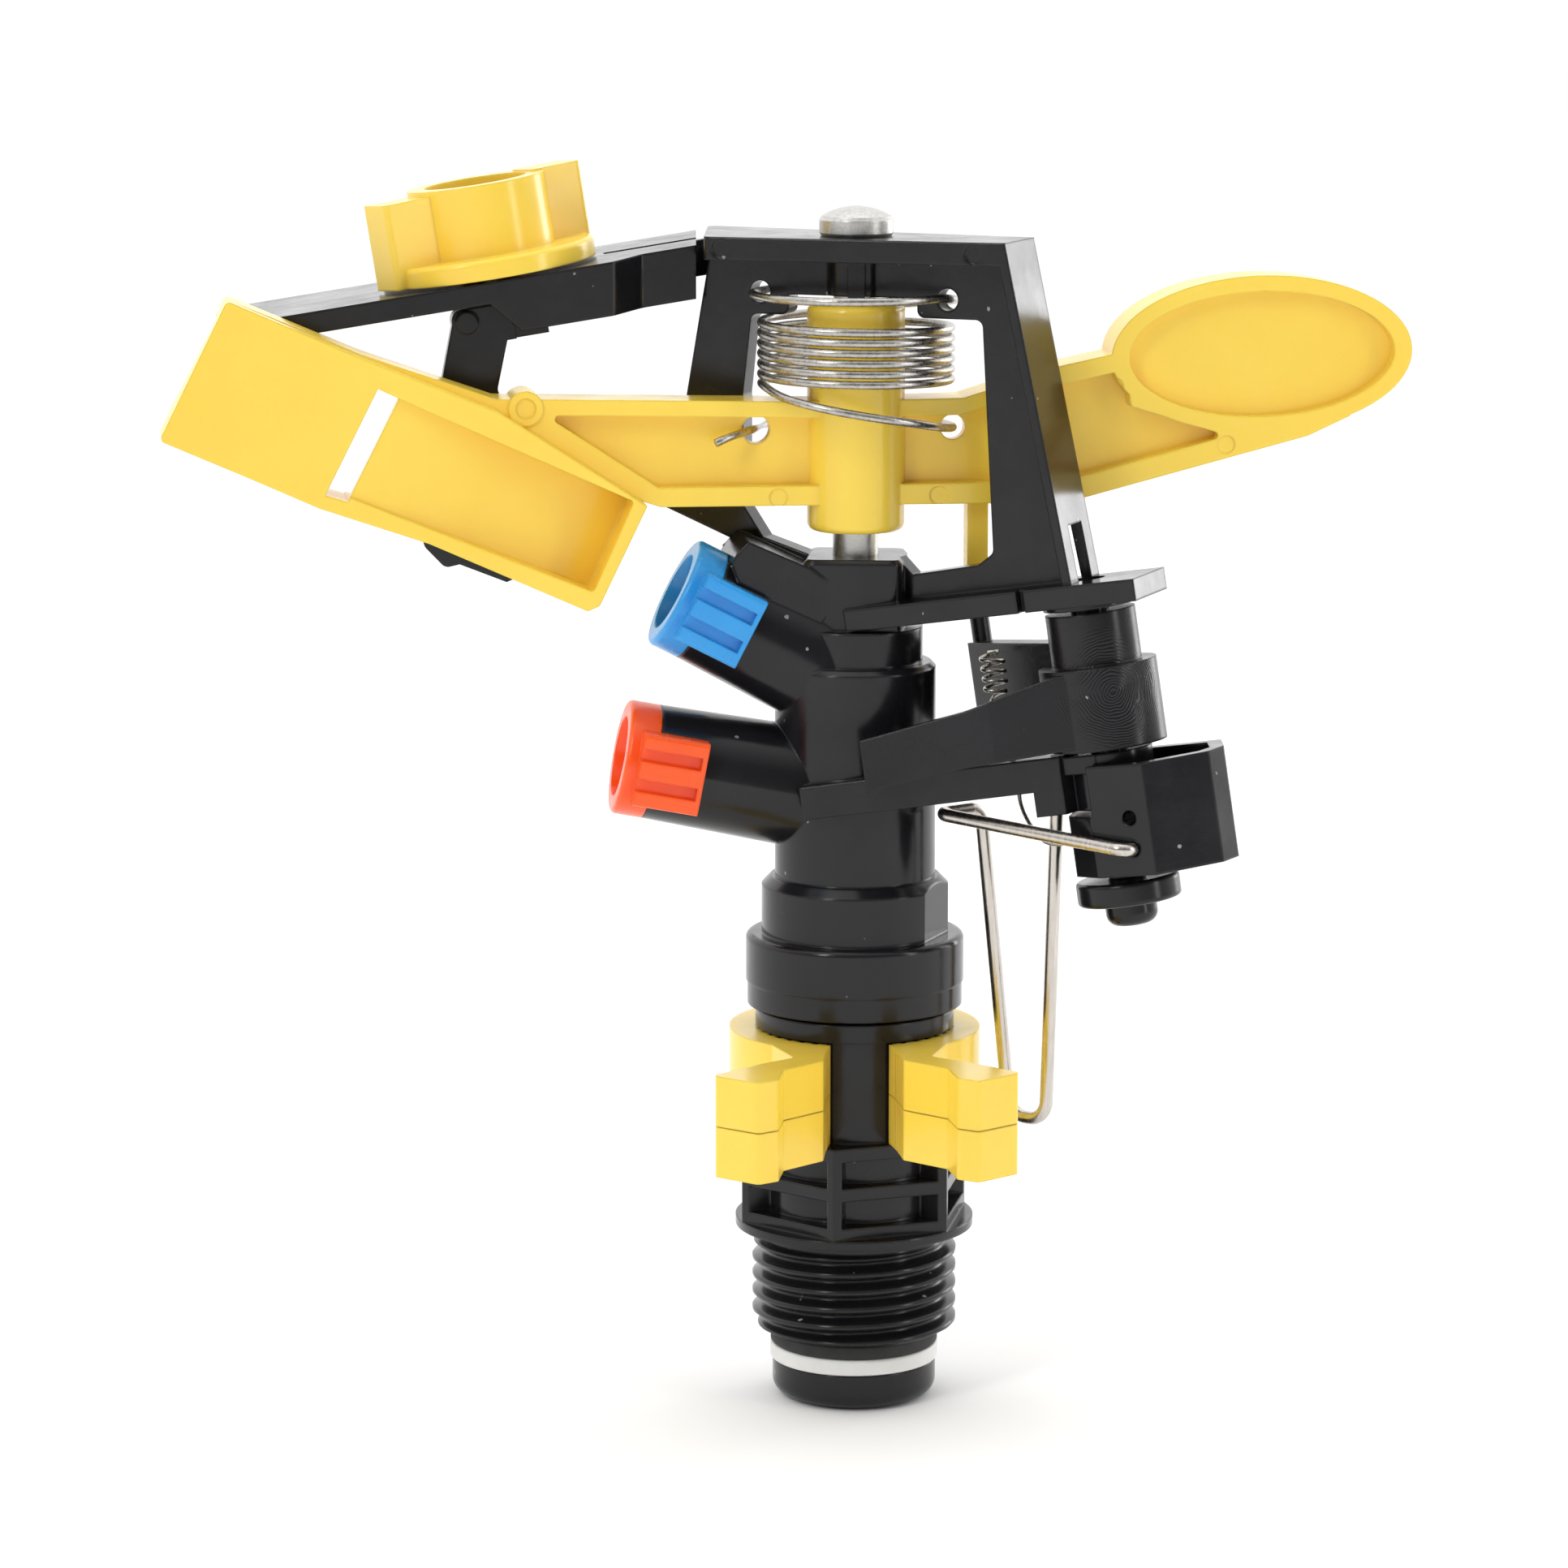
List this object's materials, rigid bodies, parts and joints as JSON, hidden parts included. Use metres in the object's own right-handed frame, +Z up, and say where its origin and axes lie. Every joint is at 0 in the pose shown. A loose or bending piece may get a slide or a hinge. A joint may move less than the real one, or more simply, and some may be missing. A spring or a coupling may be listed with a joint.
{
  "type": "impact sprinkler",
  "caption": "Part-circle impact sprinkler head: threaded male inlet, trip collars, turning body with angled nozzles, sprung hammer arm, range knob and reversing trip wire.",
  "frame": {"origin": "on the stem axis, at the underside of the shoulder above the male thread", "axes": "+Z up along the stem, nozzles throw towards -X, -Y is the front with the open side of the trip collars"},
  "size_m": [0.1256, 0.0505, 0.1258],
  "materials": {
    "black_moulding": "glossy black nylon with fine pale specks",
    "yellow_moulding": "glossy yellow acetal",
    "blue_moulding": "glossy blue acetal",
    "orange_moulding": "glossy orange-red acetal",
    "white_washer": "white low-friction plastic",
    "rubber_washer": "black rubber",
    "seal_rubber": "black rubber",
    "pin_steel": "satin stainless steel",
    "wire_steel": "bright drawn wire",
    "spring_steel": "grey spring wire"
  },
  "bodies": {
    "inlet": {"threaded_sleeve": "black_moulding"},
    "rotor": {"rotor_body": "black_moulding", "bearing_tube": "black_moulding", "white_washer": "white_washer", "rubber_washer": "rubber_washer", "spring_washer": "orange_moulding", "bearing_spring": "spring_steel", "fulcrum_pin": "pin_steel", "upper_nozzle": "blue_moulding", "lower_nozzle": "orange_moulding", "upper_seal": "seal_rubber", "lower_seal": "seal_rubber", "range_arm": "black_moulding", "trip_pin": "black_moulding", "hammer_spring": "spring_steel", "trip_spring": "spring_steel"},
    "hammer": {"hammer_arm": "yellow_moulding"},
    "upper_stop": {"upper_collar": "yellow_moulding"},
    "lower_stop": {"lower_collar": "yellow_moulding"},
    "knob": {"range_knob": "yellow_moulding"},
    "jet_deflector": {"deflector": "black_moulding"},
    "lever": {"reverse_lever": "black_moulding"},
    "hood": {"trip_hood": "black_moulding"},
    "wire": {"trip_wire": "wire_steel"}
  },
  "joints": [
    {"name": "rotor_spin", "type": "hinge", "parent": "inlet", "child": "rotor", "pos_m": [0, 0, 0], "axis": [0, 0, 1], "range_deg": [-38, 236]},
    {"name": "upper_collar_turn", "type": "hinge", "parent": "inlet", "child": "upper_stop", "pos_m": [0, 0, 0], "axis": [0, 0, 1], "range_deg": [-190, 0]},
    {"name": "lower_collar_turn", "type": "hinge", "parent": "inlet", "child": "lower_stop", "pos_m": [0, 0, 0], "axis": [0, 0, 1], "range_deg": [-190, 0]},
    {"name": "hammer_swing", "type": "hinge", "parent": "rotor", "child": "hammer", "pos_m": [0, 0, 0], "axis": [0, 0, 1], "range_deg": [0, 110], "stiffness_Nm_per_rad": 0.02, "springref_deg": -34.38, "deforming": ["hammer_spring"]},
    {"name": "trip_swing", "type": "hinge", "parent": "rotor", "child": "hood", "pos_m": [0.02182, -0.0126, 0.0636], "axis": [-0.1355, 0.0782, 0.9877], "range_deg": [-20, 0], "deforming": ["trip_spring"]},
    {"name": "lever_swing", "type": "hinge", "parent": "rotor", "child": "lever", "pos_m": [0.02182, -0.0126, 0.0636], "axis": [-0.1355, 0.0782, 0.9877], "range_deg": [-1, 15]},
    {"name": "wire_fold", "type": "hinge", "parent": "hood", "child": "wire", "pos_m": [0.0278, -0.016, 0.0424], "axis": [-0.5, -0.866, 0], "range_deg": [0, 110]},
    {"name": "knob_turn", "type": "hinge", "parent": "rotor", "child": "knob", "pos_m": [-0.0356, 0.013, 0.0968], "axis": [-0.153, 0, 0.9882], "range_deg": [0, 120]},
    {"name": "deflector_slide", "type": "slide", "parent": "rotor", "child": "jet_deflector", "axis": [-0.153, 0, 0.9882], "range_m": [-0.003, 0]}
  ],
  "couplings": [
    {"joint": "lever_swing", "follows": "trip_swing", "ratio": -0.5},
    {"joint": "deflector_slide", "follows": "knob_turn", "m_per_rad": -0.0014324}
  ]
}
